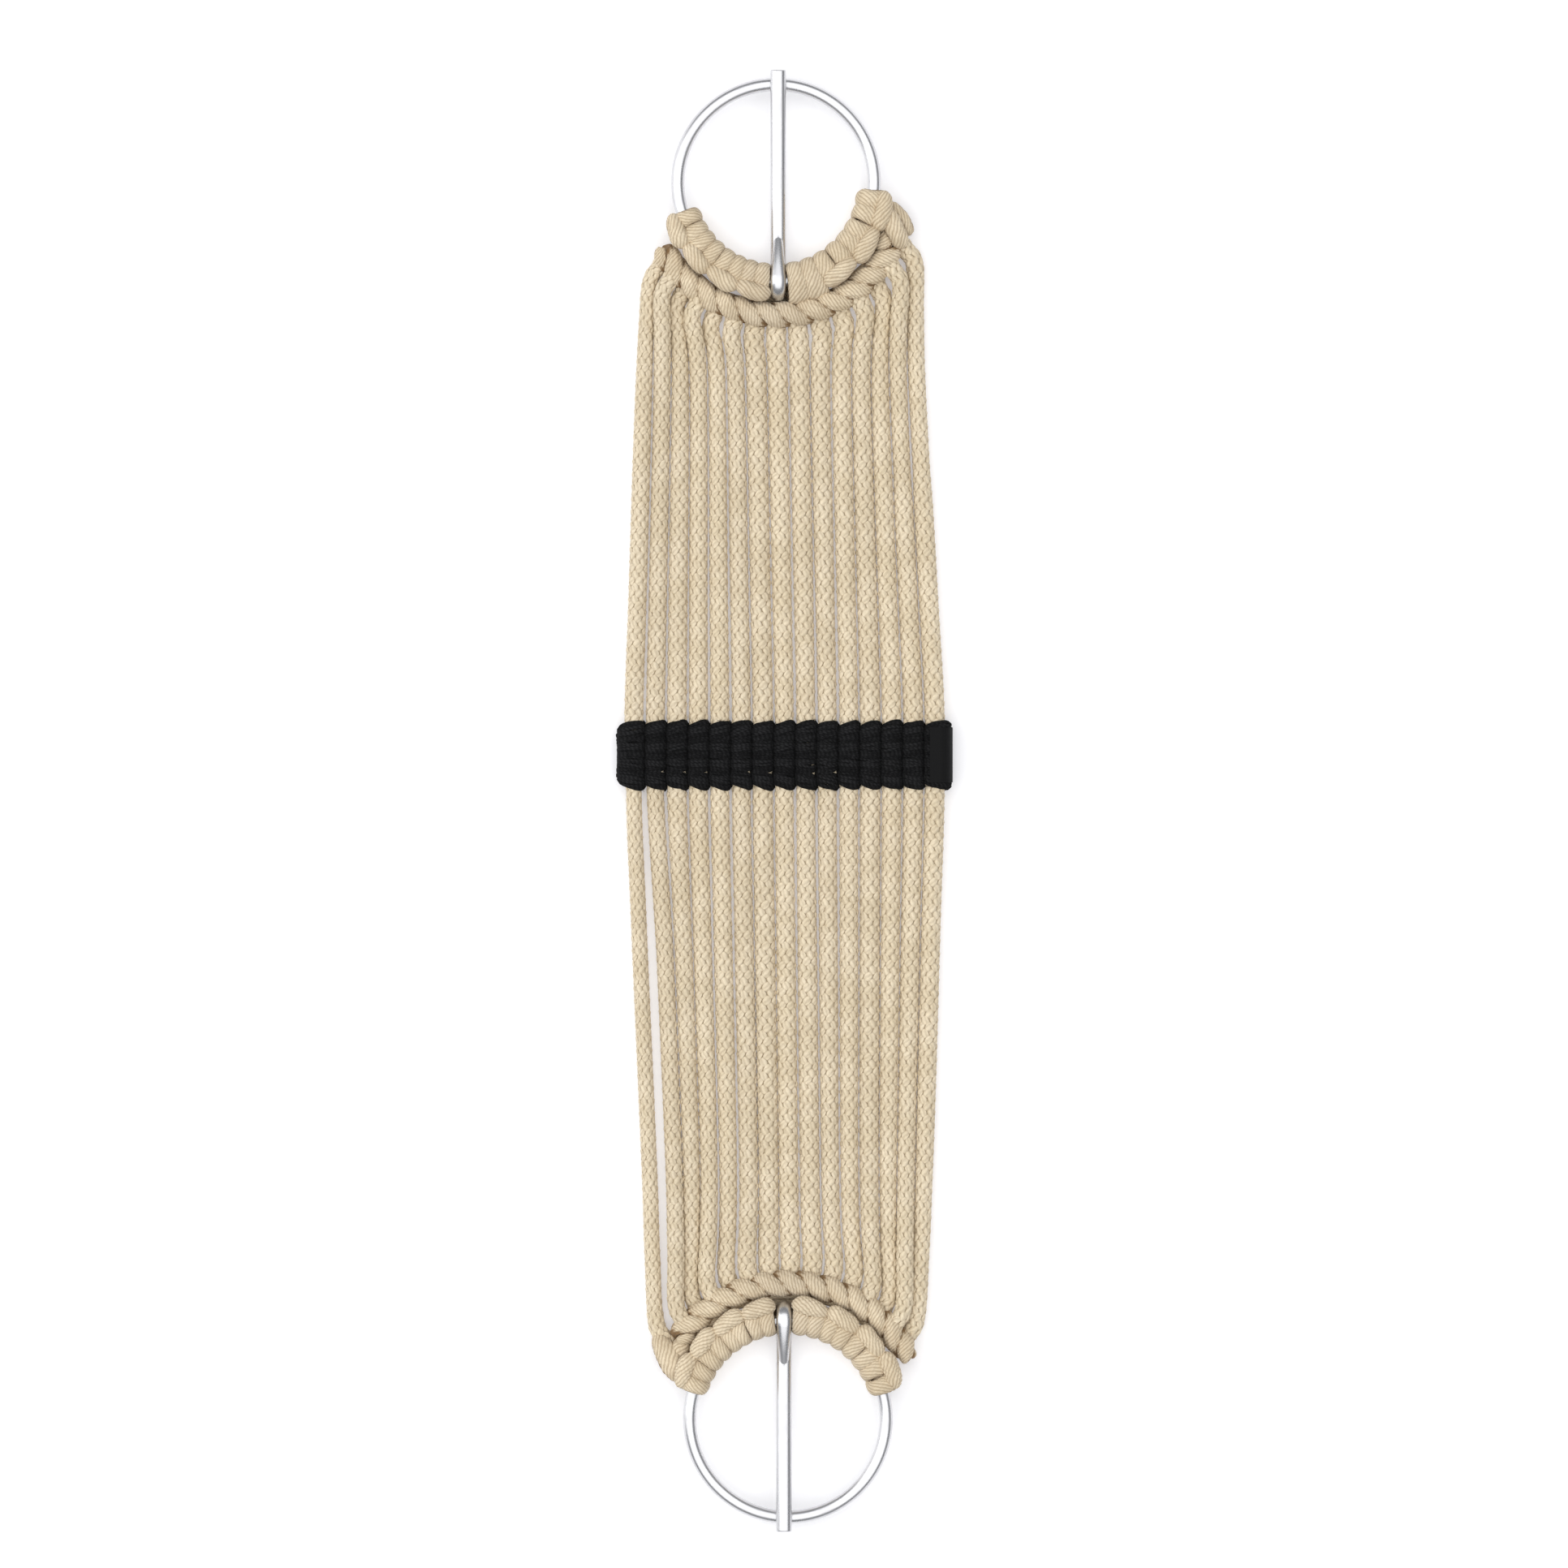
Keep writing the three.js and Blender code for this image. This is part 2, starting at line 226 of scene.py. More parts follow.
class Finish:
    """A material, built node by node."""

    def __init__(self, name, constants):
        self.material = bpy.data.materials.new(name)
        self.material.use_nodes = True
        self.tree = self.material.node_tree
        self.shader = self.tree.nodes["Principled BSDF"]
        for socket, value in constants.items():
            self.shader.inputs[socket].default_value = value

    def node(self, kind, settings, inputs, output=0):
        made = self.tree.nodes.new(kind)
        for setting, value in settings.items():
            setattr(made, setting, value)
        for socket, value in inputs.items():
            if isinstance(value, Amount):
                self.tree.links.new(value.socket, made.inputs[socket])
            else:
                made.inputs[socket].default_value = value
        return Amount(self, made.outputs[output])

    def blend(self, amount, first, second):
        """From the first colour to the second as the amount goes from 0 to 1."""
        return self.node("ShaderNodeMix", {"data_type": "RGBA"}, {0: amount, 6: first, 7: second}, 2)

    def between(self, amount, low, high):
        """0 below low, 1 above high."""
        return self.node(
            "ShaderNodeMapRange", {"interpolation_type": "SMOOTHSTEP"}, {0: amount, 1: low, 2: high}
        )

    def wave(self, amount):
        return self.node("ShaderNodeMath", {"operation": "SINE"}, {0: amount * (2 * math.pi)}) * 0.5 + 0.5

    def attribute(self, name):
        return self.node("ShaderNodeAttribute", {"attribute_name": name}, {}, "Fac")

    def lay(self):
        """Round the strand and along it."""
        uv = self.node("ShaderNodeUVMap", {"uv_map": "lay"}, {})
        return (self.node("ShaderNodeSeparateXYZ", {}, {0: uv}, k) for k in (0, 1))

    def noise(self, place, scale, detail=3.0):
        return self.node("ShaderNodeTexNoise", {}, {"Vector": place, "Scale": scale, "Detail": detail})

    def place(self):
        """Where on the object a point lies."""
        return self.node("ShaderNodeTexCoord", {}, {}, "Object")

    def bump(self, height, strength, depth):
        return self.node("ShaderNodeBump", {}, {"Height": height, "Strength": strength, "Distance": depth})

    def put(self, **links):
        names = {"colour": "Base Color", "roughness": "Roughness", "normal": "Normal"}
        for name, amount in links.items():
            self.tree.links.new(amount.socket, self.shader.inputs[names[name]])


def colour(red, green, blue):
    """A colour given as on a colour card, 0 to 255, as the light it sends back."""
    return (*(((c / 255 + 0.055) / 1.055) ** 2.4 for c in (red, green, blue)), 1)


def natural_finish(name, plies, twist, lines, crease_shade_strength, light, dark, crease_shade):
    """Soft undyed yarn: fine plies side by side, fuzz, and painted brown shade in the creases and between
    the plies.
    """
    finish = Finish(name, {"Roughness": 0.85, "Specular IOR Level": 0.25, "Sheen Weight": 0.12,
                           "Sheen Roughness": 0.5})
    around, along = finish.lay()
    tone = finish.attribute("tone")
    place = finish.place()
    fibre_place = finish.node("ShaderNodeCombineXYZ", {}, {0: around * 30, 1: along * 2.2, 2: tone * 40})
    fibres = finish.noise(fibre_place, 1.6, 4.0)
    sway = finish.noise(place, 260.0, 2.0)
    ply = finish.wave(around * plies + along * twist + sway * 0.9 + tone)
    body = finish.blend(finish.between(finish.noise(place, 95.0), 0.36, 0.66), dark, light)
    body = finish.blend(tone * 0.5, body, colour(196, 184, 166))
    # Painted shade in the grooves between the plies, and dark streaks among the fibres in the same brown.
    body = finish.blend((1 - ply) * (1 - ply) * lines, body, crease_shade)
    body = finish.blend(finish.between(fibres, 0.62, 0.35) * 0.2, body, crease_shade)
    # Painted shade: browner where the strand lies low, in a crease or under a neighbour.
    shade = finish.between(finish.attribute("deep"), 0.62, 0.08)
    finish.put(colour=finish.blend(shade * crease_shade_strength, body, crease_shade))
    height = ply * 0.7 + fibres * 0.8
    finish.put(normal=finish.bump(height, 0.65, 0.3 * mm))
    return finish.material


braid_finish = natural_finish(
    "braided_cord", 5, 0.4, 0.26, 1.0, colour(240, 225, 197), colour(229, 213, 183), colour(138, 116, 84)
)
yarns_each_way = 6
braid_turn = 30.0  # along the cord, for one whole turn of a yarn
braid_middle = 2.6  # from the middle of the cord to the middle of a yarn
braid_rise = 0.34  # how far a yarn comes up as it passes over another
yarn_half_width = 1.7
yarn_out, yarn_in = 0.6, 0.4  # half a yarn's thickness, outside and inside
yarn_sides = 8
yarn_repeat, core_repeat = 3.0, 4.2  # along a strand, for one repeat of its pattern
full_radius = braid_middle + braid_rise + yarn_out
core_radius = 2.6
chance = random.Random(11)


def braid(line_along, line, half_width, turn, phase, tone):
    """The yarns and the core of one cord, laid along its line and pressed to a width."""
    heading = unit(np.gradient(line, axis=0))
    beside = unit(np.cross(heading, (0, 0, 1)))
    over = np.cross(beside, heading) * (cord_radius / full_radius)
    beside = beside * (half_width / (full_radius - 0.2))[:, None]
    slant = math.atan2(2 * math.pi * (braid_middle + 0.7), turn)
    corner = np.arange(yarn_sides) / yarn_sides * 2 * math.pi
    across = yarn_half_width * np.sign(np.cos(corner)) * np.abs(np.cos(corner)) ** 0.8
    outward = np.where(np.sin(corner) > 0, yarn_out, yarn_in) * np.sin(corner)
    strands = []

    def at(place, angle, radius):
        spots = [
            np.stack([np.interp(place, line_along, v[:, k]) for k in range(3)], -1)
            for v in (line, over, beside)
        ]
        turned = np.cos(angle)[..., None] * spots[1] + np.sin(angle)[..., None] * spots[2]
        return spots[0] + radius[..., None] * turned

    for hand in (1, -1):
        for yarn in range(yarns_each_way):
            s = line_along[:, None]
            weave = np.cos(2 * yarns_each_way * math.pi * s / turn)
            middle = braid_middle + hand * braid_rise * weave
            plump = 0.95 + 0.09 * hand * weave
            place = s - hand * across * plump * math.sin(slant)
            angle = phase + hand * 2 * math.pi * s / turn + yarn * 2 * math.pi / yarns_each_way
            angle = angle + across * plump * math.cos(slant) / (braid_middle + 0.9)
            radius = middle + outward
            rounds = at(place, angle, radius)
            # Painted shade: lower on the yarn's inner side and towards its edges, so these turn browner.
            deep = (radius - core_radius) / (full_radius - core_radius)
            deep = np.clip(0.1 + deep - 0.45 * (across / yarn_half_width) ** 2, 0, 1)
            own = tone + chance.uniform(-0.1, 0.1)
            strands.append((rounds, line_along / yarn_repeat, deep, own))
    core_turn = np.arange(yarn_sides)[None] / yarn_sides * -2 * math.pi + 0 * line_along[:, None]
    core = at(line_along[:, None] + 0 * core_turn, core_turn, np.full(core_turn.shape, core_radius))
    # The core, seen only in the gaps between yarns, is given painted shade.
    strands.append((core, line_along / core_repeat, 0.3, tone))
    return strands


routes = [smooth_line(cord_turns(i)) for i in range(cord_count)]
widest_cord, slimmest_cord, first_cord = 3.95, 3.3, 3.0  # the most and least half widths
spare = [chance.choice((0.0, 0.0, 0.08, 0.12, 0.3)) for _ in range(cord_count + 1)]  # beside each cord
nudged = {0: -0.3, 1: 1.1, 2: 0.5}  # how far some cords lie off their line, below the crossbar


def room_beside(i, line):
    """Half the distance to the nearest neighbour all along a cord, less a thin gap that differs."""
    room = np.full(len(line), widest_cord)
    for j in (i - 1, i + 1):
        if 0 <= j < cord_count:
            gaps = np.linalg.norm(line[:, None, :2] - routes[j][None, :, :2], axis=2).min(axis=1)
            opened = spare[max(i, j)] + 0.2 * np.exp(-(((line[:, 1] - crossbar_y) / 70) ** 2))
            slots = {1: 1.0 * (line[:, 1] < crossbar_y), 14: 0.6 * (line[:, 1] > 120)}
            apart = slots.get(max(i, j), 0)
            room = np.minimum(room, gaps / 2 - opened - apart)
    room = np.maximum(room, slimmest_cord if i else first_cord)
    return np.convolve(np.pad(room, 8, mode="edge"), np.ones(17) / 17, "valid")


for i, route in enumerate(routes):
    route[:, 2] = np.maximum(route[:, 2], cord_radius)
    below = np.clip((crossbar_y - 15 - route[:, 1]) / 60, 0, 1) * np.clip((route[:, 1] + 205) / 25, 0, 1)
    route[:, 0] += nudged.get(i, 0) * below
    line_along, line = even_line(route, 0.85)
    turn = braid_turn * chance.uniform(0.95, 1.05)
    phase, tone = chance.uniform(0, 2 * math.pi), chance.uniform(0, 0.25)
    strands = braid(line_along, line, room_beside(i, line), turn, phase, tone)
    cord = strand_mesh(f"braided_cord_{i + 1:02d}", strands)
    cord.data.materials.append(braid_finish)
    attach(cord, "panel")
    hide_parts(f"cord_{i + 1:02d}")
    leaves = about_ring(upper, cord_end_radius, upper["cord_angles"][i], cord_radius + exit_lift[i])


# ---- Rings ----
# A buckle ring at each end, of round steel bar bent into a circle, welded shut, ground and nickel
# plated. It turns in the hitches that are tied round it.
ring_bar = 5.0
lifted_z = 7.8  # the middle of the ring's bar, with the cord wrapped under it


def nickel_finish(name, tint):
    """Bright polished plating, very finely brushed, a little duller where it has been handled."""
    finish = Finish(name, {"Metallic": 1.0})
    place = finish.place()
    worn = finish.between(finish.noise(place, 120.0, 4.0), 0.45, 0.75)
    fine = finish.noise(place, 2600.0, 2.0)
    finish.put(colour=finish.blend(worn * 0.4, tint, colour(200, 200, 202)))
    finish.put(roughness=worn * 0.08 + fine * 0.05 + 0.25)
    finish.put(normal=finish.bump(fine, 0.06, 0.02 * mm))
    return finish.material


ring_finish = nickel_finish("nickel_ring", colour(216, 216, 218))


def nothing_selected():
    for other in bpy.context.selected_objects:
        other.select_set(False)


def only(piece):
    """Makes a piece the only one selected, and the one that is worked on."""
    nothing_selected()
    piece.select_set(True)
    bpy.context.view_layer.objects.active = piece


def bar_end(name, place, turned, radius, sides=32):
    """The round end of a bar, in edit mode, ready to be drawn out."""
    nothing_selected()
    bpy.ops.mesh.primitive_circle_add(
        vertices=sides, radius=radius * mm, fill_type="NGON", location=Vector(place) * mm, rotation=turned
    )
    piece = bpy.context.active_object
    piece.name = name
    bpy.ops.object.transform_apply(location=True, rotation=True, scale=True)
    bpy.ops.object.mode_set(mode="EDIT")
    bpy.ops.mesh.select_all(action="SELECT")
    return piece


def finish_bar(piece, finish):
    bpy.ops.mesh.select_all(action="SELECT")
    bpy.ops.mesh.remove_doubles(threshold=0.01 * mm)
    bpy.ops.mesh.normals_make_consistent(inside=False)
    bpy.ops.object.mode_set(mode="OBJECT")
    bpy.ops.object.shade_smooth_by_angle(angle=math.radians(50))
    piece.data.materials.append(finish)


for end in (upper, lower):
    side = end["side"]
    start = (end["x"], end["y"] + side * ring_radius, lifted_z)
    ring = bar_end(f"{end['name']}_ring_bar", start, (0, math.pi / 2, 0), ring_bar / 2)
    bpy.ops.mesh.delete(type="ONLY_FACE")
    bpy.ops.mesh.select_all(action="SELECT")
    bpy.ops.mesh.spin(
        steps=144, angle=2 * math.pi, center=Vector((end["x"], end["y"], lifted_z)) * mm, axis=(0, 0, 1)
    )
    finish_bar(ring, ring_finish)
    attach(ring, f"{end['name']}_ring")
    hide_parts(f"{end['name']}_ring")


# ---- Tongues ----
# A tongue of round bar pivots on each ring: its root is curled round the ring and comes back to rest on
# the shaft, and its tip lies over the far side.
tongue_bar, tongue_width = 4.6, 5.9  # thick and wide
eye_slack, tip_slack, tip_overhang = 0.6, 0.3, 2.4
eye_radius = ring_bar / 2 + eye_slack + tongue_bar / 2
far_rise = ring_bar / 2 + tip_slack + tongue_bar / 2
tongue_slope = math.atan2(far_rise, 2 * ring_radius)
tongue_slope += math.asin(eye_radius / math.hypot(far_rise, 2 * ring_radius))
tongue_reach = ring_radius + ring_bar / 2 + tip_overhang
shaft_middle = 18  # the shaft is drawn out in two runs that meet here
curl_end, curl_rise = 16.2, tongue_bar * 0.86 - eye_radius + 0.1  # where the curl comes back to the shaft
tongue_finish = nickel_finish("nickel_tongue", colour(212, 212, 214))

for end in (upper, lower):
    side = end["side"]
    root = Vector((end["tongue_x"], end["y"] - side * ring_radius, lifted_z))

    def at(distance, rise):
        along = distance * math.cos(tongue_slope) - rise * math.sin(tongue_slope)
        up = distance * math.sin(tongue_slope) + rise * math.cos(tongue_slope)
        return root + Vector((0, side * along, up))

    tip = (ring_radius + tongue_reach - eye_radius * math.sin(tongue_slope)) / math.cos(tongue_slope)
    facing = (math.pi / 2 + side * tongue_slope, 0, 0)
    tongue = bar_end(f"{end['name']}_tongue_bar", at(tip, -eye_radius), facing, tongue_bar / 2)
    for stop, start in ((shaft_middle, tip), (0, shaft_middle)):
        bpy.ops.mesh.extrude_region_move(
            TRANSFORM_OT_translate={"value": (at(stop, -eye_radius) - at(start, -eye_radius)) * mm}
        )
    turn = 1.5 * math.pi + 0.05 - math.acos(eye_radius / math.hypot(curl_end, curl_rise))
    bpy.ops.mesh.spin(steps=36, angle=turn, center=root * mm, axis=(side, 0, 0))
    curled = -math.pi / 2 - turn
    last = at(eye_radius * math.cos(curled), eye_radius * math.sin(curled))
    bpy.ops.mesh.extrude_region_move(
        TRANSFORM_OT_translate={"value": (at(curl_end, curl_rise) - last) * mm}
    )
    bpy.ops.transform.resize(value=(0.64, 0.8, 0.8), center_override=at(curl_end, curl_rise) * mm)
    bpy.ops.object.mode_set(mode="OBJECT")
    heading = (at(curl_end, curl_rise) - last).normalized()
    above = heading.cross((side, 0, 0))
    for vertex in tongue.data.vertices:  # the end is cut off slanting
        if vertex.select:
            rise = (vertex.co / mm - at(curl_end, curl_rise)).dot(above)
            vertex.co -= heading * (0.9 * (rise + 0.4 * tongue_bar)) * mm
    bpy.ops.object.mode_set(mode="EDIT")
    bpy.ops.mesh.select_all(action="SELECT")
    bpy.ops.transform.resize(value=(tongue_width / tongue_bar, 1, 1), center_override=root * mm)
    bpy.ops.object.mode_set(mode="OBJECT")
    rounding = tongue.modifiers.new("rounded ends", "BEVEL")
    rounding.width, rounding.segments, rounding.limit_method = 0.5 * mm, 3, "ANGLE"
    rounding.angle_limit = math.radians(40)
    bpy.ops.object.modifier_apply(modifier="rounded ends")
    bpy.ops.object.mode_set(mode="EDIT")
    finish_bar(tongue, tongue_finish)
    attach(tongue, f"{end['name']}_tongue")
    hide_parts(f"{end['name']}_tongue")


# ---- Hitches ----
# Each hitch is one soft cord tied round the ring as a cow hitch: two turns over the bar, side by side, and
# a crossing bar that lies over them on the panel's side.
lashing_finish = natural_finish(
    "lashing_cord", 13, 2.2, 0.5, 1.0, colour(237, 221, 192), colour(223, 206, 176), colour(134, 106, 72)
)
tongue_gap = 6.6
any_phase = 6.3  # about a whole turn, in radians


def plied(
    line, outward, half_width, half_height, plies=9, twist=0.2, groove=0.16, sides=36, tone=0.1, dip=0.0
):
    """A soft cord of several plies, laid along a line with its flat side facing outward. Its back, the
    grooves between its plies and where it dips under its neighbours get painted shade."""
    line, outward = np.array(line, float), np.array(outward, float)
    heading = unit(np.gradient(line, axis=0))
    beside = unit(np.cross(heading, outward))
    facing = np.cross(beside, heading)
    gaps = np.concatenate([[0], np.cumsum(np.linalg.norm(np.diff(line, axis=0), axis=1))])
    corner = np.arange(sides)[None] / sides * 2 * math.pi
    furrow = np.abs(np.sin(plies / 2 * (corner + gaps[:, None] * twist))) ** 0.7
    lump = sum(
        np.sin(k * corner + gaps[:, None] * chance.uniform(0.3, 0.9) + chance.uniform(0, any_phase))
        for k in (1, 2, 3)
    )
    size = (1 - groove + groove * furrow) * (1 + groove * 0.16 * lump)
    width, height = np.broadcast_to(half_width, len(line)), np.broadcast_to(half_height, len(line))
    rounds = line[:, None] + (width[:, None] * size * np.cos(corner))[..., None] * beside[:, None]
    rounds = rounds + (height[:, None] * size * np.sin(corner))[..., None] * facing[:, None]
    # Painted shade: the back of the cord, the grooves between plies and its dips are browner.
    crown = np.clip((np.sin(corner) + 0.12) / 0.8, 0, 1)
    dips = np.broadcast_to(dip, len(line))[:, None]
    deep = np.clip((0.1 + 0.9 * crown) * (1 - dips) - 0.3 * (1 - furrow), 0, 1)
    return rounds, gaps / core_repeat, deep, tone


wrap_out, wrap_up = 5.05, 5.25  # from the ring bar's middle to the cord's, beside it and above


def wrap(end, angle, half_angle, lean, tone, reach=0.0):
    """One turn over the ring's bar, its crown on the inner side."""
    turned = np.linspace(0, 2 * math.pi, 49)
    top = np.maximum(np.sin(turned), 0)
    out = np.maximum(np.cos(turned), 0)
    r = ring_radius + end["shift"] + wrap_out * np.cos(turned) - 1.5 * top**2 + reach * out**0.6
    z = lifted_z + wrap_up * np.sin(turned) * (1 - 0.1 * np.cos(turned))
    angles = angle + lean * np.sin(turned)
    line = np.array([about_ring(end, *spot) for spot in zip(r, angles, z)])
    middle = np.array([about_ring(end, ring_radius + end["shift"], a, lifted_z) for a in angles])
    width = np.radians(half_angle) * (r + 1.0)
    return plied(line, unit(line - middle), width, 1.75, tone=tone, plies=12, twist=0.3, groove=0.15,
                 sides=48)


crossing_radius = 42.1
crossing_z, bare_z = 11.9, 4.6  # over its two turns, or behind them


def crossing(end, start, stop, tone, z_middle):
    """The bar across a hitch, its plump end towards the tongue."""
    t = np.linspace(0, 1, 34)
    plump = t if start < 0 else 1 - t
    ends = np.abs(2 * t - 1)
    round_off = np.maximum(1 - ends**4, 0.02) ** 0.5
    r = crossing_radius + end["shift"] + 1.5 * (plump - 0.45)
    z = z_middle - 2.6 * ends**4
    angles = start + (stop - start) * t
    line = [about_ring(end, *spot) for spot in zip(r, angles, z)]
    outward = np.array([about_ring(end, 1, a, 3.5) - about_ring(end, 0, a, 0) for a in angles])
    # Painted shade at the bar's ends, where it tucks under.
    return plied(line, unit(outward), (3.35 + 0.7 * plump) * round_off, 3.5 * round_off, tone=tone,
                 plies=11, twist=0.24 * end["side"], dip=0.85 * ends**6)


bare_hitch = ("upper", 5)  # it is tied the other way round, with its crossing bar behind
hitches_a_side = 4
wrap_share = 0.285  # of a hitch's arc, half the width of one turn
lining_lift = 3.75  # flat cord against the ring, above and below, seen between the turns
for end in (upper, lower):
    tongue_angle = math.degrees(math.asin((end["tongue_x"] - end["x"]) / ring_radius))
    half_gap = math.degrees(tongue_gap / 2 / ring_radius)
    stretches = ((end["arc"][0], tongue_angle - half_gap), (tongue_angle + half_gap, end["arc"][1]))
    number = 0
    for first, last in stretches:
        for k in range(hitches_a_side):
            number += 1
            each = (last - first) / hitches_a_side
            start, stop = first + each * k, first + each * (k + 1)
            near = math.exp(-(((start + stop) / 2) / 14) ** 2)
            bare = (end["name"], number) == bare_hitch
            turns_round = [
                wrap(end, start + each * share, each * wrap_share,
                     chance.uniform(-1.4, 1.4) * (1 - near), 0.1 + 0.7 * near, 3.0 if bare else 0.0)
                for share in (0.255, 0.745)
            ]
            bar = crossing(end, start + 0.1, stop - 0.1, 0.1 + 0.6 * near, bare_z if bare else crossing_z)
            lining = []
            for face in (1, -1):
                angles = np.linspace(start + 0.4 * (k == 0), stop - 0.4 * (k == hitches_a_side - 1), 9)
                spots = [about_ring(end, ring_radius + end["shift"], a, lifted_z + face * lining_lift)
                         for a in angles]
                facing = np.tile((0.0, 0.0, face), (len(angles), 1))
                # The lining, seen only between the turns, is given painted shade.
                lining.append(plied(spots, facing, 3.2, 0.95, plies=10, sides=20, dip=0.5))
            hitch = strand_mesh(f"{end['name']}_cow_hitch_{number}", turns_round + [bar] + lining)
            hitch.data.materials.append(lashing_finish)
            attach(hitch, "panel")
            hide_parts(f"{end['name']}_hitch_{number}")


# ---- Twined rows ----
# Below the hitches a row of two cords is twined through the panel's cords, one half turn to each, and its
# ends are knotted back to the ring.
twine_half_turn = 9.6  # degrees of arc
row_z, row_swing, row_rise = 5.9, 2.35, 2.7  # the row's middle, and how far its cords go from it


def twist_row(end, start, stop, radius):
    """Two cords twisted round each other along an arc of the ring."""
    angles = np.arange(start, stop, 0.45)
    strands = []
    for offset in (0, math.pi):
        turned = end["side"] * (angles - start) / twine_half_turn * math.pi + offset
        r = radius + row_swing * np.sin(turned)
        z = row_z + row_rise * np.cos(turned)
        line = [about_ring(end, *spot) for spot in zip(r, angles, z)]
        outward = [about_ring(end, 0.8 * math.sin(t), a, math.cos(t)) - about_ring(end, 0, a, 0)
                   for a, t in zip(angles, turned)]
        ends = np.minimum(1, np.minimum(angles - start + 0.6, stop - angles + 0.6) / 5) ** 0.5
        near = np.exp(-((angles / 16) ** 2))[:, None]
        # Painted shade where a twined cord goes low under its partner, and towards its ends.
        dip = np.clip(0.5 - 0.8 * np.cos(turned), 0, 1) * np.clip(1.6 * ends - 0.6, 0, 1)
        strands.append(plied(line, np.array(outward), 3.55 * ends, 2.9 * ends, tone=0.08 + 0.6 * near,
                             plies=10, twist=-0.2, dip=dip))
    return strands


def tail(end, spots, widths, height=3.0):
    """A loose end that is tucked away: through spots of radius, angle and height."""
    line = smooth_line([about_ring(end, *spot) for spot in spots], 12)
    t = np.linspace(0, 1, len(line))
    ends = np.abs(2 * t - 1)
    round_off = np.maximum(1 - ends**5, 0.02) ** 0.5
    width = np.interp(t, np.linspace(0, 1, len(widths)), widths) * round_off
    # Painted shade towards the tucked-in ends.
    return plied(line, np.tile((0.0, 0.0, 1.0), (len(line), 1)), width, height * round_off, plies=10,
                 twist=0.24, dip=0.6 * ends**7)


# A strand runs on under the hitches, an angle and a height at a time, and a flat one under the tongue. The
# rest are the knots at the ends.
upper_row = twist_row(upper, -60.5, 63, 50.2)
link = [(-57, 5), (-30, 4.8), (-12, 3.5), (0, 3), (12, 3.5), (30, 4.8), (58, 5)]
upper_row.append(tail(upper, [(47.3, a, z) for a, z in link], [2.3, 2.3], 2.3))
under_tongue = [(44.4, -10, 1.2), (44.4, 0, 1.2), (44.4, 10, 1.2)]
upper_row.append(tail(upper, under_tongue, [2.6, 2.6], 1.0))
upper_row.append(tail(upper, [(45.5, 71, 6), (47, 64, 7), (47, 56, 6)], [3.4, 3.6, 3.0]))
upper_row.append(
    tail(upper, [(41, 77, 8), (46, 71.5, 10.5), (50.5, 66.5, 9.5), (54, 63, 5)], [3.0, 3.8, 3.9, 3.2])
)
upper_row.append(tail(upper, [(43.5, 80, 6), (49.5, 74.3, 6.5), (55, 69, 4.5)], [2.6, 3.1, 2.9]))
lower_row = twist_row(lower, -55, 64, 51.6)
lower_row.append(tail(lower, [(48, a, z) for a, z in link], [2.7, 2.7], 2.3))
lower_row.append(tail(lower, under_tongue, [2.6, 2.6], 1.0))
lower_row.append(tail(lower, [(45, -66, 5), (48.5, -60, 6.5), (50, -52, 6)], [3.6, 4.2, 3.4]))
lower_row.append(
    tail(lower, [(43, -70, 6), (48, -65.5, 8), (53.5, -61, 7), (60, -57.6, 3.6)], [3.8, 4.8, 4.4, 3.4])
)
for end, strands in ((upper, upper_row), (lower, lower_row)):
    row = strand_mesh(f"{end['name']}_twined_row", strands)
    row.data.materials.append(lashing_finish)
    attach(row, "panel")
    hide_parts(f"{end['name']}_twine")


# ---- Crossbar ----
# Black wool yarn of many plies is twined through the cords in four passes and packed tight, so that each
# cord carries a column that is narrow where a pass dives and wide where it comes up.
passes = 4
pass_width = 6.35
column_reach = 4.12  # half a column's width
ply_reach = 1.04  # of that, how far a ply runs before it dives
layers = (("packed", 8), ("filling", 3), ("loose", 4))  # and the plies in each
yarn_lowest, yarn_highest = 0.75, 10.2
fibre_count, fibre_lowest, fibre_highest = 3200, 0.4, 10.4
yarn_finish = Finish("black_yarn", {"Roughness": 0.9, "Specular IOR Level": 0.12, "Sheen Weight": 0.02,
                                    "Sheen Roughness": 0.4})
around, along = yarn_finish.lay()
place = yarn_finish.place()
twist = yarn_finish.wave(around * 2 + along * 2.6)
fuzz = yarn_finish.noise(place, 1500.0, 3.0)
# Painted highlight: plies that stand out are lighter along the twist and fuzz; where they lie low it is
# painted shade.
raised = yarn_finish.attribute("deep")
lit = raised * (twist * 0.6 + fuzz * 0.5)
yarn_finish.put(colour=yarn_finish.blend(lit, colour(3, 3, 4), colour(46, 46, 47)))
yarn_finish.put(normal=yarn_finish.bump(twist * 0.6 + fuzz, 0.7, 0.15 * mm))
see_through = {1: 0.7, 2: 0.6, 3: 0.4, 5: 0.7, 6: 0.6, 8: 0.8, 9: 0.8}  # columns with a small gap low down
outer = {0: -1, cord_count - 1: 1}  # the sides on which the yarn goes round an edge

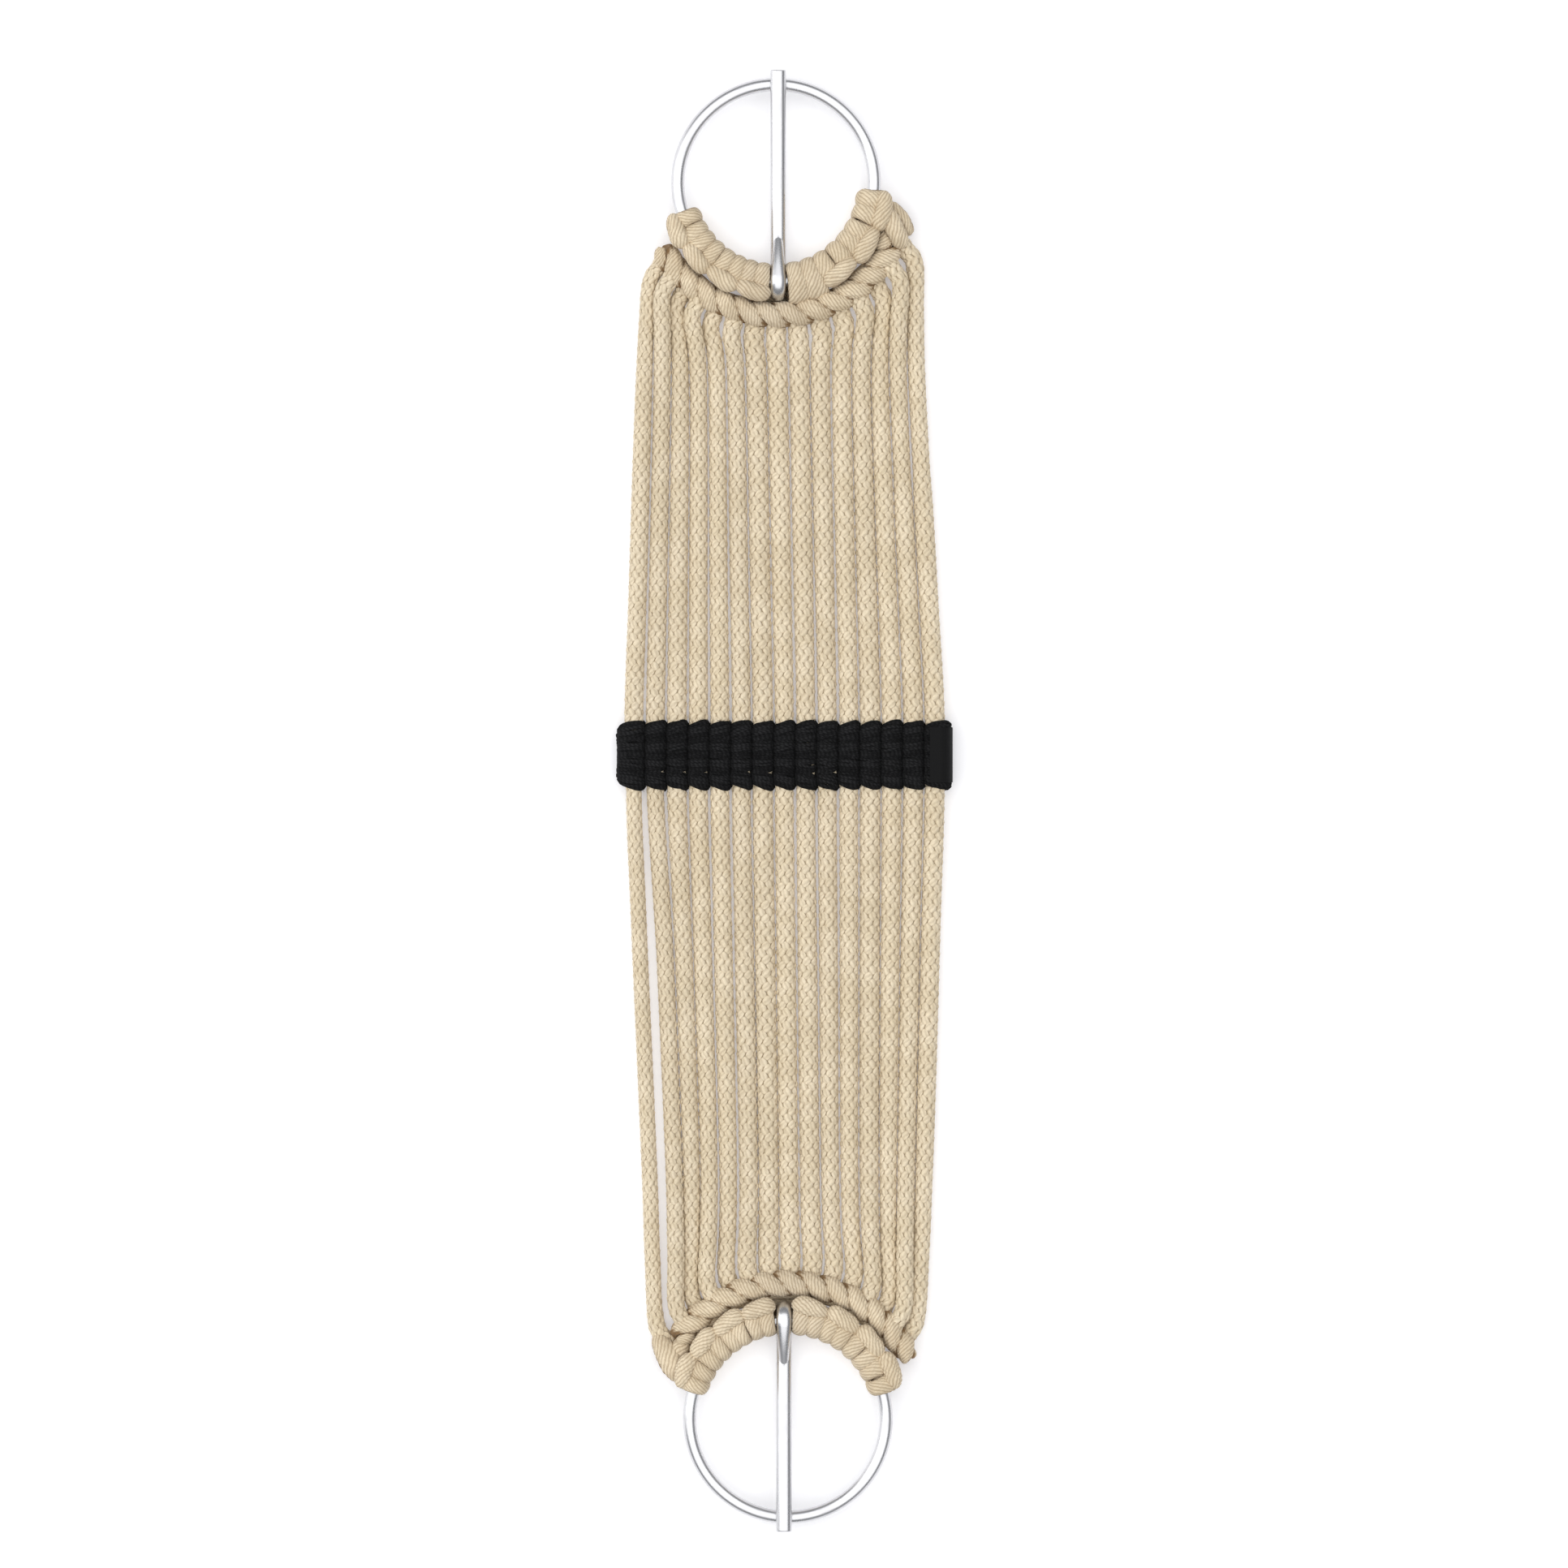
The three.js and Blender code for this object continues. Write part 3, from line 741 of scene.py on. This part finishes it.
bar_strands = []
for column in range(cord_count):
    gap = see_through.get(column, 0)
    for number in range(passes):
        for face in (1, -1):
            for layer, plies in layers:
                filling, loose = layer == "filling", layer == "loose"
                if filling and number == passes - 1:
                    continue
                for ply in range(plies):
                    u = np.linspace(-ply_reach, 0.5 if filling and number == 2 and gap else ply_reach, 13)
                    inside = (ply - (plies - 1) / 2) / plies
                    middle = (passes - 1) / 2 - number
                    flare = 1 + 0.085 * u - 0.09 * u**8
                    gathered = inside * (0.85 + 0.15 * np.cos(u * math.pi / 2))
                    offset = (middle + gathered - (0.5 if filling else 0)) * pass_width * flare
                    split = {2: 1, 3: -1}.get(number, 0) * gap * np.clip((u - 0.45) / 0.5, 0, 1)
                    bow = np.sqrt(np.maximum(1 - (u / ply_reach) ** 2, 0))
                    crown = 1.7 * (2 * inside) ** 2 + 1.1 * filling - 0.25 * loose
                    wander = chance.uniform(-0.25, 0.25)
                    drift = chance.uniform(-1.1, 1.1) if loose else chance.uniform(-0.35, 0.35)
                    wave = chance.uniform(0, any_phase)
                    x = cord_x(column) + u * column_reach * (1 + 0.42 * (u * outer.get(column, 0) > 0))
                    y = crossbar_y + offset + wander + drift * u * (1 - 0.3 * abs(middle)) + 0.75 * split
                    y = y + 0.18 * np.sin(3 * u + wave)
                    z = crossbar_cord_z + face * (0.15 + (4.3 - crown) * bow + chance.uniform(-0.22, 0.22))
                    line = np.stack([x, y, np.clip(z, yarn_lowest, yarn_highest)], -1)
                    out = np.stack([u * 0.6, 0 * u, face + 0 * u], -1)
                    thick = chance.uniform(0.48, 0.62)
                    width = 1.9 if filling else thick * 1.1
                    # Painted shade where a ply dives at the column's edge and at the edges of its pass.
                    dip = np.clip(0.9 * (u / ply_reach) ** 4 + 0.6 * (2 * inside) ** 4, 0, 1)
                    bar_strands.append(
                        plied(line, out, width, thick, plies=2, groove=0, sides=6, tone=0.0, dip=dip)
                    )
for _ in range(fibre_count):
    column, u, face = chance.randrange(cord_count), chance.uniform(-0.8, 0.8), chance.choice((1, 1, 1, -1))
    t = np.linspace(-0.5, 0.5, 6)
    tilt, length = chance.gauss(0, 0.4), chance.uniform(1.5, 4)
    across = np.clip(u + t * length / column_reach * math.cos(tilt), -1, 1)
    height = chance.uniform(-1, 1) * 2.02 * pass_width * (1 + 0.095 * u)
    y = crossbar_y + height + t * length * math.sin(tilt) + chance.uniform(-1.2, 1.2) * (4 * t**2)
    raised_by = chance.uniform(0, 0.35) * (1 - 4 * t**2)
    z = crossbar_cord_z + face * (0.3 + 4.5 * np.sqrt(1 - across**2 * 0.9) + raised_by)
    z = np.clip(z, fibre_lowest, fibre_highest)
    line = np.stack([cord_x(column) + across * column_reach, y, z], -1)
    thick = np.sqrt(1.02 - 4 * t**2) * chance.uniform(0.04, 0.08)
    facing = np.tile((0.0, 0.0, face), (len(t), 1))
    bar_strands.append(plied(line, facing, thick, thick, plies=2, groove=0, sides=4, tone=0.0))
crossbar = strand_mesh("twined_crossbar", bar_strands)
crossbar.data.materials.append(yarn_finish.material)
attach(crossbar, "panel")
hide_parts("crossbar")


# ---- Edge tab ----
# A short strip of plain black woven tape. It is folded in two round the crossbar's edge and stitched
# there.
tab_low, tab_high = (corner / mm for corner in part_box("edge_tab"))
tab_thickness = 0.6
fold_radius = (tab_high[2] - tab_low[2] - tab_thickness) / 2
fold_x = tab_high[0] - tab_thickness / 2 - fold_radius
tab_middle_z = (tab_high[2] + tab_low[2]) / 2
flat_run = fold_x - tab_low[0]
across_fold = [(x, fold_radius) for x in np.linspace(tab_low[0], fold_x, 8)]
half_turn = np.linspace(math.pi / 2, -math.pi / 2, 25)[1:]
across_fold += [(fold_x + fold_radius * math.cos(a), fold_radius * math.sin(a)) for a in half_turn]
across_fold += [(x, -fold_radius) for x in np.linspace(fold_x, tab_low[0], 8)[1:]]
tab_length = 2 * flat_run + math.pi * fold_radius
rows = np.linspace(tab_low[1], tab_high[1], 25)
tab_mesh = bpy.data.meshes.new("folded_tab")
points = [Vector((x, y, tab_middle_z + z)) * mm for x, z in across_fold for y in rows]
n = len(rows)
faces = [
    (a * n + b, a * n + b + 1, (a + 1) * n + b + 1, (a + 1) * n + b)
    for a in range(len(across_fold) - 1) for b in range(n - 1)
]
tab_mesh.from_pydata(points, [], faces)
lay = tab_mesh.uv_layers.new(name="lay")
for loop in tab_mesh.loops:
    a, b = divmod(loop.vertex_index, n)
    lay.data[loop.index].uv = (a / (len(across_fold) - 1), b / (n - 1))
tab = bpy.data.objects.new("folded_tab", tab_mesh)
bpy.context.scene.collection.objects.link(tab)
only(tab)
bpy.ops.object.mode_set(mode="EDIT")
bpy.ops.mesh.select_all(action="SELECT")
bpy.ops.mesh.normals_make_consistent(inside=False)
bpy.ops.object.mode_set(mode="OBJECT")
thicken = tab.modifiers.new("thickness", "SOLIDIFY")
thicken.thickness = tab_thickness * mm
thicken.offset = 0
bpy.ops.object.modifier_apply(modifier="thickness")
bpy.ops.object.shade_smooth_by_angle(angle=math.radians(40))
tape_finish = Finish("black_tab", {"Roughness": 0.6, "Specular IOR Level": 0.15})
across, up = tape_finish.lay()
warp = tape_finish.wave(across * 60)
weft = tape_finish.wave(up * 54)
tape_finish.put(colour=tape_finish.blend(warp * weft, colour(4, 4, 5), colour(20, 20, 21)))
tape_finish.put(normal=tape_finish.bump(warp * weft, 0.6, 0.1 * mm))
tab.data.materials.append(tape_finish.material)
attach(tab, "panel")
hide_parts("edge_tab")
tab_length * mm


# ---- Floor and light ----
# A white table that glows a little, painted light that lifts the shade between and under the cords. It
# lies under a broad soft light overhead and a gentler one from the left.
nothing_selected()
bpy.ops.mesh.primitive_plane_add(size=12, location=(0, 0, 0))
floor = bpy.context.active_object
floor.name = "floor"
# The table's glow is painted light, not a lamp.
floor_finish = Finish("white_table", {
    "Base Color": (0.8, 0.8, 0.8, 1), "Roughness": 0.9,
    "Emission Color": (0.96, 0.95, 1.0, 1), "Emission Strength": 0.28,
})
floor.data.materials.append(floor_finish.material)
bpy.context.scene.view_settings.view_transform = "Standard"
world = bpy.data.worlds.new("room")
bpy.context.scene.world = world
world.use_nodes = True
world.node_tree.nodes["Background"].inputs["Color"].default_value = (0.3, 0.305, 0.315, 1)


def soft_light(name, size, power, place, aim):
    light = bpy.data.lights.new(name, "AREA")
    light.size = size
    light.energy = power
    lamp = bpy.data.objects.new(name, light)
    lamp.location = place
    lamp.rotation_euler = (Vector(aim) - Vector(place)).to_track_quat("-Z", "Y").to_euler()
    bpy.context.scene.collection.objects.link(lamp)


soft_light("overhead", 6.5, 172, (0, 0, 3.2), (0, 0, 0))
soft_light("left", 3.0, 42, (-3.2, 0.6, 1.6), (0, 0, 0))
